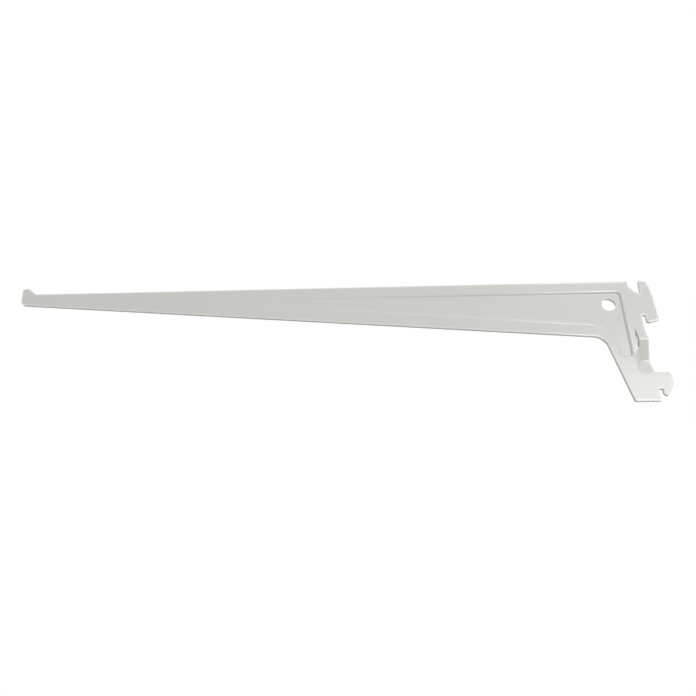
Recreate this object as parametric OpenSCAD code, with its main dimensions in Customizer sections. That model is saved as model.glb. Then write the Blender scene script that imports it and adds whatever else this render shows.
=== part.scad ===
// Slotted shelf bracket: one stamped and embossed sheet of steel.
// X = 0 is the face of the slotted upright, with the arm on the -X side.
// Y = 0 is the middle of the sheet, and its viewed face is on the -Y side.
// Z = 0 is the top edge that carries the shelf.

/* [Sheet] */
// Thickness of the steel sheet
sheet_t = 2; // [1.5:0.1:3]

/* [Arm] */
// Length of the shelf seat, from the upright's face to the foot of the nose
seat_l = 403; // [280:1:600]
// Height of the arm at the front of the nose, below the seat
arm_tip_h = 8.4; // [6:0.1:14]
// Height of the arm at the elbow, below the seat
arm_root_h = 40.2; // [35:0.1:46]

/* [Nose] */
// Height of the nose above the seat
nose_rise = 5.1; // [3:0.1:12]
// Length of the slope that leads from the seat up to the nose
nose_ramp = 7; // [3:0.1:12]
// Length of the nose in front of that slope
nose_crest = 3.5; // [2:0.1:8]
// How far the crest falls towards the front
nose_fall = 1.1; // [0.2:0.1:2]
// How far the front edge leans back from top to bottom
nose_lean = 1.6; // [0:0.1:3]
// Radius at the bottom front corner of the nose
nose_r = 4; // [1:0.1:5]

/* [Leg] */
// Distance from the upright's face to the elbow
elbow_x = 25.6; // [22:0.1:34]
// Radius of the elbow
elbow_r = 9; // [3:0.1:14]
// Depth of the leg's foot below the seat
leg_drop = 83; // [81:0.1:96]
// Width of the leg's foot
foot_w = 14.9; // [11:0.1:18]
// Radius at the front corner of the foot
foot_r = 1.6; // [0.4:0.1:4]

/* [Upright] */
// Distance from one slot of the upright to the next
slot_pitch = 50; // [48:0.5:52]
// Thickness of the upright's wall
upright_t = 2; // [1.2:0.1:2.2]
// Play of that wall in the throats of the hooks
upright_play = 0.4; // [0.1:0.05:0.8]

/* [Hooks] */
// Depth of the upper hook's throat below the seat
throat_z = 25.2; // [24:0.1:27]
// Reach of the upper hook behind the upright's face
upper_reach = 10; // [8:0.1:14]
// Reach of the upper hook at its top
upper_top_reach = 6.7; // [5:0.1:7.5]
// Depth at which the upper hook's back starts to taper
upper_taper_z = 11.5; // [9:0.1:14]
// How far the upper hook's tip hangs below its throat
upper_drop = 5.8; // [3:0.1:8]
// How far the upper hook's underside rises towards its back
upper_tip_rise = 2.2; // [0:0.1:4]
// Reach of the lower hook behind the upright's face
lower_reach = 9.7; // [8:0.1:14]
// Height of the lower hook above its throat
lower_rise = 10.7; // [9:0.1:13]
// How far the lower hook's tip hangs below its throat
lower_drop = 4.8; // [3:0.1:7]
// Distance from the upright's face to the lower hook's tip
lower_tip_x = 4.6; // [4.2:0.1:6]
// How far above the tip the lower hook's slanted back ends
lower_slant_h = 7.4; // [4:0.1:9]
// Radius at the top back corner of the lower hook
lower_r = 2.2; // [0.5:0.1:3]

/* [Notch] */
// Distance from the upright's face to the notch's front wall
notch_front = 4.5; // [3:0.1:7]
// Depth of the notch's front wall
notch_wall_h = 4.2; // [2:0.1:6]
// Full depth of the notch, beside the upper hook
notch_h = 9.8; // [8:0.1:12]
// Lean of the upper hook's inner edge in the notch
notch_lean = 0.7; // [0:0.1:1.2]

/* [Panel] */
// Depth to which the panel is pressed
panel_depth = 1.2; // [0.6:0.1:1.6]
// Slope of the panel's walls
panel_wall_a = 45; // [35:1:55]
// Radius of the rounded shoulder round the panel
shoulder_r = 2.5; // [1:0.1:3.5]
// Distance from the upright's face to the panel's far end
panel_end = 236; // [90:1:250]
// Rim between the panel and the seat
rim_top = 7.7; // [6:0.1:9]
// Rim between the panel and the arm's lower edge
rim_bottom = 8.9; // [6:0.1:10]
// Rim between the panel and the leg's slanted edge
rim_leg = 4.9; // [4:0.1:6]
// Rim between the panel and the upright's face
rim_rear = 10.2; // [9.5:0.1:11]
// Depth of the panel's lower end below the seat
panel_drop = 54.4; // [48:0.1:66]
// Radius of the panel's corners
panel_r = 3; // [2.4:0.1:3.4]
// Radius of the panel's edge round the elbow
panel_elbow_r = 15; // [6:0.5:20]

/* [Hole] */
// Diameter of the fixing hole
hole_d = 8.5; // [5:0.1:10]
// Distance from the upright's face to the hole
hole_x = 18.5; // [17:0.1:60]
// Depth of the hole below the seat
hole_z = 16.6; // [15.5:0.1:21]

/* [Wave strip] */
// Width of the strip that is slit free along the rear edge
strip_w = 6; // [4:0.1:6.4]
// Width of the slit beside the strip
slit_w = 0.4; // [0.2:0.05:0.6]
// Depth of the strip's upper end below the seat
strip_top_z = 35.1; // [33.5:0.1:37]
// Depth at which the strip crosses the sheet and the slit ends
slit_foot_z = 47.5; // [46:0.1:49]
// Depth of the crest that is pressed to the viewed side
crest_front_z = 42.5; // [41:0.1:45]
// Travel of the crest on the viewed side
crest_front = 2; // [0.5:0.1:3]
// Radius of the strip's bends, at the middle of the sheet
crest_r = 3; // [2:0.1:5]

/* [Drawn pit] */
// Depth below the seat of the crest that is drawn to the far side
crest_back_z = 56; // [54:0.1:57]
// Length of the flat along that crest
crest_flat = 1.2; // [0.6:0.1:2]
// Reach of the pit from the rear edge, at its widest
pit_reach = 9.2; // [8:0.1:9.4]
// Depth of the pit's lower end below the seat, at the rear edge
pit_foot_z = 64.4; // [62:0.1:64.4]
// Depth of the pit's lowest point below the seat
pit_toe_z = 66.6; // [65:0.1:68]
// Distance from the rear edge to the pit's lowest point
pit_toe_x = 5.2; // [3:0.1:6]

/* [Hidden] */

// Steps of a rounded corner, of the panel's shoulder and of the pit's rounded far side
ARC_STEPS = 8;
SHOULDER_STEPS = 3;
BALL_STEPS = 16;

// How far a hollow runs past the sheet's face, how far a cut runs past the material,
// and how far the strip laps into the pit's wall
PAST_FACE = 0.2;
CLEAR = 1;
LAP = 0.05;

// Radii at corners: sheared edges, throats, tips, plain corners and soft curves
EDGE_R = 0.5;
THROAT_END = 0.9;
TIP_R = 0.8;
SOFT_R = 1.5;
BLEND_R = 3;

// Shares that place the middle corners of the curved edges between their ends
HOOK_LAND = 0.65;
TAPER_MID = 0.4;
NOTCH_MID = [0.3, 0.8];

// Shares of the pit's flank by which its rim draws in above and below the widest place,
// and the height of the slant at its upper end
PIT_DRAW_IN = [0.3, 0.2];
PIT_SLANT_H = 4;

throat_w = upright_t + upright_play;
nose_x = seat_l + nose_ramp + nose_crest;
lower_throat_z = throat_z + slot_pitch;
lower_hook_z = lower_throat_z - lower_rise;
slit_x = strip_w + slit_w;

// A unit vector, and a vector turned a quarter turn to the left
function unit(v) = v / norm(v);
function left(v) = [-v[1], v[0]];

// The point where the line from p along u meets the line from q along v
function meet(p, u, q, v) = p + u * cross(q - p, v) / cross(u, v);

function xz(c) = [c[0], c[1]];

// An arc that rounds corner c = [x, z, r] between its neighbours a and b.
// The radius is held to what the shorter of the two sides has room for.
function corner_arc(a, c, b) =
    let (u = unit(xz(c) - xz(a)), v = unit(xz(b) - xz(c)))
    let (turn = atan2(cross(u, v), u * v))
    let (room = 0.5 * min(norm(xz(c) - xz(a)), norm(xz(b) - xz(c))))
    let (r = min(c[2], room / abs(tan(turn / 2))))
    let (side = sign(turn), start = xz(c) - u * r * abs(tan(turn / 2)))
    let (centre = start + left(u) * r * side)
    [for (i = [0:ARC_STEPS])
        let (a = turn * i / ARC_STEPS)
        centre + (-left(u) * cos(a) + u * sin(a)) * r * side];

// A closed outline whose corners [x, z, r] are rounded
function rounded(c) =
    let (n = len(c))
    [for (i = [0:n - 1]) each corner_arc(c[(i + n - 1) % n], c[i], c[(i + 1) % n])];

// The same corners moved inwards by d, for corners that run anticlockwise.
// Outer corners lose that much radius and inner ones gain it.
function inset(c, d) =
    let (n = len(c))
    [for (i = [0:n - 1])
        let (p = xz(c[i]))
        let (u = unit(p - xz(c[(i + n - 1) % n])), v = unit(xz(c[(i + 1) % n]) - p))
        let (q = meet(p + left(u) * d, u, p + left(v) * d, v))
        [q[0], q[1], max(c[i][2] - sign(cross(u, v)) * d, 0.1)]];

// One side of a bent ribbon: its middle line [y, z, r] moved sideways by d
function ribbon_side(c, d) =
    let (n = len(c), first = left(unit(xz(c[1]) - xz(c[0]))))
    let (moved = [for (i = [1:n - 2])
        let (p = xz(c[i]), u = unit(p - xz(c[i - 1])), v = unit(xz(c[i + 1]) - p))
        let (q = meet(p + left(u) * d, u, p + left(v) * d, v))
        [q[0], q[1], c[i][2] - sign(cross(u, v)) * d]])
    let (ends = concat([xz(c[0]) + first * d], moved, [xz(c[n - 1]) + first * d]))
    concat([ends[0]], [for (i = [1:n - 2]) each corner_arc(ends[i - 1], ends[i], ends[i + 1])], [ends[n - 1]]);

// The lower edge of the arm and the slanted edge of the leg meet at the elbow
tip = [-nose_x + nose_lean, -arm_tip_h];
elbow = [-elbow_x, -arm_root_h];
foot = [-foot_w, -leg_drop];

// Corners of the two hooks, of the nose and of the notch, each [x, z, radius]
nose_corners = [
    [-seat_l, 0, SOFT_R],
    [-seat_l - nose_ramp, nose_rise, TIP_R],
    [-nose_x, nose_rise - nose_fall, SOFT_R],
    [tip[0], tip[1], nose_r]
];
leg_corners = [
    [elbow[0], elbow[1], elbow_r],
    [foot[0], foot[1], foot_r],
    [0, -leg_drop, EDGE_R]
];
lower_hook_corners = [
    [0, -lower_throat_z, THROAT_END],
    [throat_w, -lower_throat_z, THROAT_END],
    [throat_w, -lower_throat_z - HOOK_LAND * lower_drop, SOFT_R],
    [lower_tip_x, -lower_throat_z - lower_drop, TIP_R],
    [lower_reach - EDGE_R, -lower_throat_z - lower_drop + lower_slant_h, SOFT_R],
    [lower_reach, -lower_hook_z, lower_r],
    [0, -lower_hook_z, EDGE_R]
];
upper_hook_corners = [
    [0, -throat_z, THROAT_END],
    [throat_w, -throat_z, THROAT_END],
    [throat_w, -throat_z - upper_drop, SOFT_R],
    [upper_reach, -throat_z - upper_drop + upper_tip_rise, TIP_R],
    [upper_reach - EDGE_R, -upper_taper_z, BLEND_R],
    [0.5 * (upper_reach + EDGE_R + upper_top_reach), -TAPER_MID * upper_taper_z, BLEND_R],
    [upper_top_reach, 0, EDGE_R],
    [throat_w + 0.5 * notch_lean, 0, EDGE_R]
];
notch_corners = [
    [throat_w - 0.5 * notch_lean, -notch_h, TIP_R],
    [-NOTCH_MID[0] * notch_front, -NOTCH_MID[1] * notch_h, BLEND_R],
    [-notch_front + EDGE_R, -notch_wall_h, BLEND_R],
    [-notch_front, 0, EDGE_R]
];
sheet_corners = concat(nose_corners, leg_corners, lower_hook_corners, upper_hook_corners, notch_corners);

// Corners of the pressed panel, parallel to the edges of the sheet round it
arm_dir = unit(elbow - tip);
leg_dir = unit(foot - elbow);
arm_line = elbow + left(arm_dir) * rim_bottom;
leg_line = elbow + left(leg_dir) * rim_leg;
panel_end_low = meet(arm_line, arm_dir, [-panel_end, 0], [0, 1]);
panel_elbow = meet(arm_line, arm_dir, leg_line, leg_dir);
panel_foot = meet(leg_line, leg_dir, [0, -panel_drop], [1, 0]);
panel_corners = [
    [-rim_rear, -rim_top, panel_r],
    [-panel_end, -rim_top, panel_r],
    [panel_end_low[0], panel_end_low[1], panel_r],
    [panel_elbow[0], panel_elbow[1], panel_elbow_r],
    [panel_foot[0], panel_foot[1], panel_r],
    [-rim_rear, -panel_drop, panel_r]
];

// Section through the panel's wall: [distance inside its outline, depth into the sheet].
// The near side has a rounded shoulder and a sharp foot. The far side runs parallel to it,
// one sheet thickness behind, so its foot is sharp and its shoulder is rounded.
wall_run = panel_depth / tan(panel_wall_a);
near_r = min(shoulder_r, 0.9 * panel_depth / (1 - cos(panel_wall_a)));
near_wall = concat(
    [for (i = [0:SHOULDER_STEPS])
        let (a = panel_wall_a * i / SHOULDER_STEPS)
        [near_r * (sin(a) - tan(panel_wall_a / 2)), near_r * (1 - cos(a))]],
    [[wall_run, panel_depth]]
);
far_wall = concat(
    [[-sheet_t * tan(panel_wall_a / 2), sheet_t]],
    [for (i = [SHOULDER_STEPS:-1:0])
        let (a = panel_wall_a * i / SHOULDER_STEPS)
        [wall_run - sheet_t * sin(a), panel_depth + sheet_t * cos(a)]]
);

// A solid through rings of the panel's outline, one for each [inset, y] of the list
module panel_loft(levels) {
    rings = [for (l = levels) [for (p = rounded(inset(panel_corners, l[0]))) [p[0], l[1], p[1]]]];
    n = len(rings[0]);
    last = len(rings) - 1;
    sides = [for (k = [0:last - 1], i = [0:n - 1])
        let (j = (i + 1) % n)
        [k * n + i, k * n + j, (k + 1) * n + j, (k + 1) * n + i]];
    near_cap = [for (i = [n - 1:-1:0]) i];
    far_cap = [for (i = [0:n - 1]) last * n + i];
    polyhedron([for (r = rings) each r], concat(sides, [near_cap, far_cap]), convexity = 6);
}

// Flat blank with its outline, hooks and notch
module blank() {
    rotate([90, 0, 0])
        linear_extrude(sheet_t, center = true)
            polygon(rounded(sheet_corners));
}

// The strip's straight run between its crests falls by this much for each millimetre down.
// The pit's floor starts along the same slope, a little deeper than the strip that laps into it.
strip_slope = crest_front / (slit_foot_z - crest_front_z);
pit_face = -sheet_t / 2 - PAST_FACE;
crest_high_z = crest_back_z - 0.5 * crest_flat;
crest_y = strip_slope * (crest_high_z - slit_foot_z) + LAP
    - 0.5 * sheet_t * sqrt(1 + pow(strip_slope, 2));
pit_top_z = crest_high_z - (crest_y - pit_face) / strip_slope;

// Rim of the drawn pit, just past the face of the sheet, and the ends of its crest
pit_flank = pit_reach - slit_x;
pit_toe_fall = (pit_toe_z - pit_foot_z) / pit_toe_x;
pit_rim = [
    [CLEAR, -pit_top_z],
    [-slit_x, -pit_top_z],
    [-pit_reach + PIT_DRAW_IN[0] * pit_flank, -pit_top_z - PIT_SLANT_H],
    [-pit_reach, -crest_back_z],
    [-pit_reach + PIT_DRAW_IN[1] * pit_flank, -pit_foot_z],
    [-pit_toe_x, -pit_toe_z],
    [CLEAR, -pit_foot_z + pit_toe_fall * CLEAR]
];
pit_crest = [for (x = [-strip_w, CLEAR], z = [crest_high_z, crest_high_z + crest_flat]) [x, crest_y, -z]];

// Hollow of the drawn pit on the viewed side
module pit_hollow() {
    hull() {
        translate([0, pit_face, 0])
            rotate([90, 0, 0])
                linear_extrude(PAST_FACE)
                    polygon(pit_rim);
        for (p = pit_crest)
            translate(p)
                cube([LAP, LAP, LAP], center = true);
    }
}

// Raised side of the drawn pit, one sheet thickness out from the hollow. It starts
// inside the sheet, and the rear edge cuts it off.
module pit_rise() {
    inner_y = -sheet_t / 4;
    intersection() {
        hull()
            for (p = concat([for (q = pit_rim) [q[0], pit_face, q[1]]], pit_crest))
                translate(p)
                    sphere(sheet_t, $fn = BALL_STEPS);
        translate([-2 * pit_reach, inner_y, -2 * pit_toe_z])
            cube([2 * pit_reach, crest_y + 2 * sheet_t - inner_y, 2 * pit_toe_z]);
    }
}

// Hollow on the viewed side of the pressed panel. Its outermost band is carried on
// past the face of the sheet, so that the face cuts it cleanly.
module panel_hollow() {
    face = -sheet_t / 2;
    band = near_wall[1] - near_wall[0];
    panel_loft(concat(
        [[near_wall[0][0] - PAST_FACE * band[0] / band[1], face - PAST_FACE]],
        [for (i = [1:len(near_wall) - 1]) [near_wall[i][0], face + near_wall[i][1]]]
    ));
}

// Raised side of the pressed panel, with its wall carried on into the sheet
module panel_rise() {
    face = -sheet_t / 2;
    under = 0.75 * sheet_t;
    panel_loft(concat(
        [[far_wall[0][0] - under / tan(panel_wall_a), face + sheet_t - under]],
        [for (i = [1:len(far_wall) - 1]) [far_wall[i][0], face + far_wall[i][1]]]
    ));
}

module fixing_hole() {
    translate([-hole_x, 0, -hole_z])
        rotate([90, 0, 0])
            cylinder(d = hole_d, h = 2 * (sheet_t + panel_depth) + CLEAR, center = true, $fn = 96);
}

// Window that frees the rear strip: the slit and the room for the strip itself
module strip_window() {
    translate([-slit_x, -sheet_t / 2 - CLEAR, -slit_foot_z])
        cube([slit_x + CLEAR, sheet_t + 2 * CLEAR, slit_foot_z - strip_top_z]);
}

// Rear strip, pressed into a wave: its crest on the viewed side, then the slope that crosses
// the sheet. It runs a little way into the sheet above, and into the pit's wall below.
module wave_strip() {
    middle = [
        [0, -strip_top_z + CLEAR, 0],
        [0, -strip_top_z, crest_r],
        [-crest_front, -crest_front_z, crest_r],
        [strip_slope * 4 * CLEAR, -slit_foot_z - 4 * CLEAR, 0]
    ];
    near = ribbon_side(middle, -sheet_t / 2);
    far = ribbon_side(middle, sheet_t / 2);
    n = len(far);
    translate([-strip_w, 0, 0])
        rotate([90, 0, 90])
            linear_extrude(strip_w)
                polygon(concat(near, [for (i = [n - 1:-1:0]) far[i]]));
}

// Flat part of the sheet, with the panel's place, the hole and the strip's window cut out
module flat_sheet() {
    difference() {
        blank();
        panel_hollow();
        pit_hollow();
        fixing_hole();
        strip_window();
    }
}

// Walls and floor of the pressed panel, one sheet thickness through
module pressed_panel() {
    difference() {
        panel_rise();
        panel_hollow();
        fixing_hole();
    }
}

// Wall of the drawn pit, which carries the strip's lower end
module drawn_pit() {
    difference() {
        pit_rise();
        pit_hollow();
        strip_window();
    }
}

module bracket() {
    color("#d9dad6") {
        flat_sheet();
        pressed_panel();
        drawn_pit();
        wave_strip();
    }
}

bracket();
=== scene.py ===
"""Slotted shelf bracket: one stamped sheet of steel with a semi-gloss white powder coat.

Every surface is a profile carried along a rounded path, or the flat area between such bands.
Lengths are in metres. X = 0 is the upright's face, Y = 0 the middle of the sheet, Z = 0 the seat.
"""

import math
from collections import namedtuple
from itertools import combinations

import bpy
import numpy as np
from bpy.props import FloatProperty, FloatVectorProperty, PointerProperty, StringProperty
from mathutils import Matrix, Vector
from mathutils.geometry import delaunay_2d_cdt


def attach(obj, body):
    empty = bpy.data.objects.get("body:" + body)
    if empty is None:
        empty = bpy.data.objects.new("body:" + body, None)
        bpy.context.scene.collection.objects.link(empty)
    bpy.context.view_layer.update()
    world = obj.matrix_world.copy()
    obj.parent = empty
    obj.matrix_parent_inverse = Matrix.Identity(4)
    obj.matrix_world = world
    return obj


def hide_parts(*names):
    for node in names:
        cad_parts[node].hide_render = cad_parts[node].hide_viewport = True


bl_info = {
    "name": "Slotted shelf bracket",
    "version": (1, 0, 0),
    "blender": (4, 5, 0),
    "location": "View3D > Sidebar > Bracket",
    "description": "Builds a stamped shelf bracket, its coat of paint and a plain studio",
    "category": "Add Mesh",
}

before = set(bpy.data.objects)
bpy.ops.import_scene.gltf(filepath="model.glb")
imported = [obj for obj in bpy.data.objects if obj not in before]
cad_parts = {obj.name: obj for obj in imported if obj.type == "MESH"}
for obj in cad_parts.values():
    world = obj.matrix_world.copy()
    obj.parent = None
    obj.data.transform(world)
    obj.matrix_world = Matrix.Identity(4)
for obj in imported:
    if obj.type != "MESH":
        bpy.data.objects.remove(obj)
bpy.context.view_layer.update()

# Steps of each rounded corner, of each rolled edge, of the hole and of the strip's bends
CORNER_STEPS = 14
ROLL_STEPS = 6
HOLE_STEPS = 96
BEND_STEPS = 32

# Distances from a corner at which a straight stretch of the outline gets points, where the evenly
# spaced ones begin, and how far apart those are
END_POINTS = (0.00025, 0.0006, 0.0011, 0.0018, 0.003)
MIDDLE_FROM = 0.006
MIDDLE_STEP = 0.004

# Points closer than this are one point
TINY = 1e-6

# Nibs in the powder, where the photograph shows them: x, z and radius
# Each nib is a real bump, and is also painted in the lighter rim colour: a painted highlight on it
NIBS = ((-0.0074, -0.0301, 0.0007), (-0.0359, -0.0032, 0.0005))
# They sit just inside the near face, and rise by this share of their radius
NIB_Y = -0.00097
NIB_RISE = 0.15


# Settings

class ArmSettings(bpy.types.PropertyGroup):
    """Sizes of the arm, the nose and the leg."""

    sheet_t: FloatProperty(name="Sheet", description="Thickness of the steel sheet",
                           default=0.002, unit="LENGTH")
    seat_l: FloatProperty(name="Seat", description="Upright's face to the foot of the nose",
                          default=0.403, unit="LENGTH")
    arm_tip_h: FloatProperty(name="Arm at the nose", description="Depth of the arm at its nose",
                             default=0.0084, unit="LENGTH")
    arm_root_h: FloatProperty(name="Arm at the elbow", description="Depth of the arm at the elbow",
                              default=0.0402, unit="LENGTH")
    nose_rise: FloatProperty(name="Nose rise", description="Height of the nose above the seat",
                             default=0.0051, unit="LENGTH")
    nose_ramp: FloatProperty(name="Nose ramp", description="Length of the slope up to the nose",
                             default=0.007, unit="LENGTH")
    nose_crest: FloatProperty(name="Nose crest", description="Length of the nose past its slope",
                              default=0.0035, unit="LENGTH")
    nose_fall: FloatProperty(name="Nose fall", description="How far the crest falls to the front",
                             default=0.0011, unit="LENGTH")
    nose_lean: FloatProperty(name="Nose lean", description="How far the front edge leans back",
                             default=0.0016, unit="LENGTH")
    nose_r: FloatProperty(name="Nose radius", description="Radius at the nose's lower corner",
                          default=0.004, unit="LENGTH")
    elbow_x: FloatProperty(name="Elbow", description="Upright's face to the elbow",
                           default=0.0256, unit="LENGTH")
    elbow_r: FloatProperty(name="Elbow radius", description="Radius of the elbow",
                           default=0.009, unit="LENGTH")
    leg_drop: FloatProperty(name="Leg", description="Depth of the leg's foot below the seat",
                            default=0.083, unit="LENGTH")
    foot_w: FloatProperty(name="Foot", description="Width of the leg's foot",
                          default=0.0149, unit="LENGTH")
    foot_r: FloatProperty(name="Foot radius", description="Radius at the foot's front corner",
                          default=0.0016, unit="LENGTH")
    edge_r: FloatProperty(name="Sheared corner", description="Radius of a plain sheared corner",
                          default=0.0005, unit="LENGTH")
    tip_r: FloatProperty(name="Tip corner", description="Radius at tips",
                         default=0.0008, unit="LENGTH")
    soft_r: FloatProperty(name="Soft corner", description="Radius of a plain stamped corner",
                          default=0.0015, unit="LENGTH")
    blend_r: FloatProperty(name="Blended corner", description="Radius inside curved edges",
                           default=0.003, unit="LENGTH")


class HookSettings(bpy.types.PropertyGroup):
    """Sizes of the two hooks and of the notch."""

    slot_pitch: FloatProperty(name="Slot pitch", description="From one slot to the next",
                              default=0.05, unit="LENGTH")
    throat_w: FloatProperty(name="Throat", description="Width of the throats",
                            default=0.0024, unit="LENGTH")
    throat_r: FloatProperty(name="Throat radius", description="Radius at the throats' ends",
                            default=0.0009, unit="LENGTH")
    throat_z: FloatProperty(name="Upper throat", description="Depth of the upper throat",
                            default=0.0252, unit="LENGTH")
    upper_reach: FloatProperty(name="Upper reach", description="Reach of the upper hook",
                               default=0.01, unit="LENGTH")
    upper_top_reach: FloatProperty(name="Upper top reach", description="Reach at its top",
                                   default=0.0067, unit="LENGTH")
    upper_taper_z: FloatProperty(name="Upper taper", description="Depth where its back tapers",
                                 default=0.0115, unit="LENGTH")
    upper_drop: FloatProperty(name="Upper drop", description="Its tip below its throat",
                              default=0.0058, unit="LENGTH")
    upper_tip_rise: FloatProperty(name="Upper tip rise", description="Rise of its underside",
                                  default=0.0022, unit="LENGTH")
    lower_reach: FloatProperty(name="Lower reach", description="Reach of the lower hook",
                               default=0.0097, unit="LENGTH")
    lower_rise: FloatProperty(name="Lower rise", description="Its height above its throat",
                              default=0.0107, unit="LENGTH")
    lower_drop: FloatProperty(name="Lower drop", description="Its tip below its throat",
                              default=0.0048, unit="LENGTH")
    lower_tip_x: FloatProperty(name="Lower tip", description="Upright's face to its tip",
                               default=0.0046, unit="LENGTH")
    lower_slant_h: FloatProperty(name="Lower slant", description="Height of its slanted back",
                                 default=0.0074, unit="LENGTH")
    lower_r: FloatProperty(name="Lower radius", description="Radius at its top back corner",
                           default=0.0022, unit="LENGTH")
    hook_land: FloatProperty(name="Lower land", description="Straight share of its inner edge",
                             default=0.65, subtype="FACTOR")
    taper_mid: FloatProperty(name="Taper middle", description="Share of the taper at its bend",
                             default=0.4, subtype="FACTOR")
    notch_front: FloatProperty(name="Notch front", description="Upright's face to the notch",
                               default=0.0045, unit="LENGTH")
    notch_wall_h: FloatProperty(name="Notch wall", description="Depth of the notch's front wall",
                                default=0.0042, unit="LENGTH")
    notch_h: FloatProperty(name="Notch", description="Full depth of the notch",
                           default=0.0098, unit="LENGTH")
    notch_lean: FloatProperty(name="Notch lean", description="Lean of the notch's rear edge",
                              default=0.0007, unit="LENGTH")
    notch_mid_x: FloatProperty(name="Notch bend along", description="Share at the notch's bend",
                               default=0.3, subtype="FACTOR")
    notch_mid_z: FloatProperty(name="Notch bend down", description="Share at the notch's bend",
                               default=0.8, subtype="FACTOR")


class PanelSettings(bpy.types.PropertyGroup):
    """Sizes of the pressed panel, the fixing hole and the rolled edges."""

    depth: FloatProperty(name="Depth", description="Depth to which the panel is pressed",
                         default=0.0012, unit="LENGTH")
    nose_share: FloatProperty(name="Depth at the nose", description="Share of it near the nose",
                              default=0.5, subtype="FACTOR")
    run_out: FloatProperty(name="Run out", description="Rear edge to where that share is reached",
                           default=0.15, unit="LENGTH")
    full_to: FloatProperty(name="Full depth", description="Rear edge to where full depth ends",
                           default=0.045, unit="LENGTH")
    fade: FloatProperty(name="Fade", description="Length over which it fades at its far end",
                        default=0.02, unit="LENGTH")
    end_share: FloatProperty(name="Depth at its end", description="Share of it at its far end",
                             default=0.1, subtype="FACTOR")
    wall_a: FloatProperty(name="Wall slope", description="Slope of the panel's walls",
                          default=math.radians(45), unit="ROTATION")
    shoulder_r: FloatProperty(name="Shoulder", description="Radius where the rim rolls over",
                              default=0.0055, unit="LENGTH")
    shoulder_a: FloatProperty(name="Shoulder angle", description="Angle to which the rim rolls",
                              default=math.radians(18), unit="ROTATION")
    crisp: FloatProperty(name="Crisp sides",
                         description="Width of the top, rear and end rims, against the lower one's",
                         default=0.7, subtype="FACTOR")
    bend_r: FloatProperty(name="Wall bend", description="Radius between that roll and the wall",
                          default=0.0008, unit="LENGTH")
    near_foot_r: FloatProperty(name="Near foot", description="Radius where a wall meets the floor",
                               default=0.0014, unit="LENGTH")
    far_foot_r: FloatProperty(name="Far foot", description="The same on the far side",
                              default=0.0004, unit="LENGTH")
    end: FloatProperty(name="Far end", description="Upright's face to the panel's far end",
                       default=0.236, unit="LENGTH")
    rim_top: FloatProperty(name="Top rim", description="Rim below the seat",
                           default=0.0077, unit="LENGTH")
    rim_bottom: FloatProperty(name="Lower rim", description="Rim above the arm's lower edge",
                              default=0.0089, unit="LENGTH")
    rim_leg: FloatProperty(name="Leg rim", description="Rim beside the leg's slanted edge",
                           default=0.0049, unit="LENGTH")
    rim_rear: FloatProperty(name="Rear rim", description="Rim beside the upright",
                            default=0.0102, unit="LENGTH")
    drop: FloatProperty(name="Panel drop", description="Depth of the panel's lower end",
                        default=0.0544, unit="LENGTH")
    corner_r: FloatProperty(name="Panel corner", description="Radius of the panel's corners",
                            default=0.003, unit="LENGTH")
    elbow_r: FloatProperty(name="Panel elbow", description="Radius of the panel round the elbow",
                           default=0.015, unit="LENGTH")
    hole_d: FloatProperty(name="Hole", description="Diameter of the fixing hole",
                          default=0.0085, unit="LENGTH")
    hole_x: FloatProperty(name="Hole along", description="Upright's face to the hole",
                          default=0.0185, unit="LENGTH")
    hole_z: FloatProperty(name="Hole down", description="Depth of the hole below the seat",
                          default=0.0166, unit="LENGTH")
    roll_w: FloatProperty(name="Roll-over", description="Width of the sheared edge's roll-over",
                          default=0.0012, unit="LENGTH")
    roll_h: FloatProperty(name="Roll-over depth", description="Depth of the sheared edge's roll-over",
                          default=0.0003, unit="LENGTH")
    roll_far: FloatProperty(name="Far roll", description="Rounding of the edge on the far side",
                            default=0.0003, unit="LENGTH")
    roll_hole: FloatProperty(name="Hole roll", description="Width of the roll-over round the hole",
                             default=0.00045, unit="LENGTH")


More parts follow.
